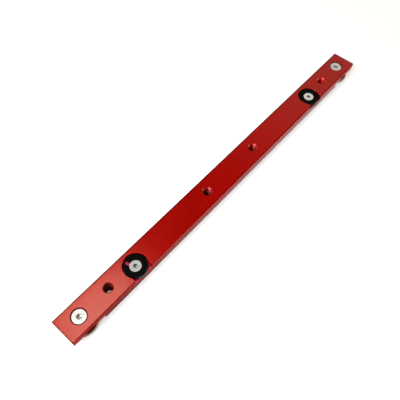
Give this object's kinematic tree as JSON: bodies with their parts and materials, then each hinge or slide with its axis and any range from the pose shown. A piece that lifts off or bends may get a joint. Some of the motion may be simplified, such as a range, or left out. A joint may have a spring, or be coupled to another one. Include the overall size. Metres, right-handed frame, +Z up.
{
  "type": "guide rail slider",
  "caption": "Flat red guide bar that slides in a table slot, with hooking discs under its ends, side snug rings spread by countersunk screws, and tapped fixing holes.",
  "frame": {"origin": "centre of the bar's underside, halfway along it and on its middle line, on the surface it rests on", "axes": "+X along the bar, from the end at the picture's lower left to the end at its upper right; +Y towards the closed side, away from the side where the snug rings show; +Z up, out of the top face with the screw heads"},
  "size_m": [0.3, 0.0204, 0.0095],
  "materials": {
    "red_anodised": "satin red anodised extrusion",
    "plated_screw": "bright zinc plate, turned",
    "disc_steel": "turned, plain plate",
    "black_nylon": "satin moulded nylon"
  },
  "bodies": {
    "bar": {"guide_bar": "red_anodised", "left_end_screw": "plated_screw", "right_end_screw": "plated_screw", "left_t_disc": "disc_steel", "right_t_disc": "disc_steel"},
    "left_ring": {"left_snug_ring": "black_nylon"},
    "right_ring": {"right_snug_ring": "black_nylon"},
    "left_screw": {"left_snug_screw": "plated_screw"},
    "right_screw": {"right_snug_screw": "plated_screw"}
  },
  "joints": [
    {"name": "left_screw_turn", "type": "hinge", "parent": "bar", "child": "left_screw", "pos_m": [-0.0944, -0.002, 0.0092], "axis": [0, 0, 1], "range_deg": [-90, 360]},
    {"name": "right_screw_turn", "type": "hinge", "parent": "bar", "child": "right_screw", "pos_m": [0.0944, -0.002, 0.0092], "axis": [0, 0, 1], "range_deg": [-90, 360]},
    {"name": "left_ring_turn", "type": "hinge", "parent": "bar", "child": "left_ring", "pos_m": [-0.0944, -0.002, 0.007], "axis": [0, 0, 1], "continuous": true},
    {"name": "right_ring_turn", "type": "hinge", "parent": "bar", "child": "right_ring", "pos_m": [0.0944, -0.002, 0.007], "axis": [0, 0, 1], "continuous": true}
  ]
}
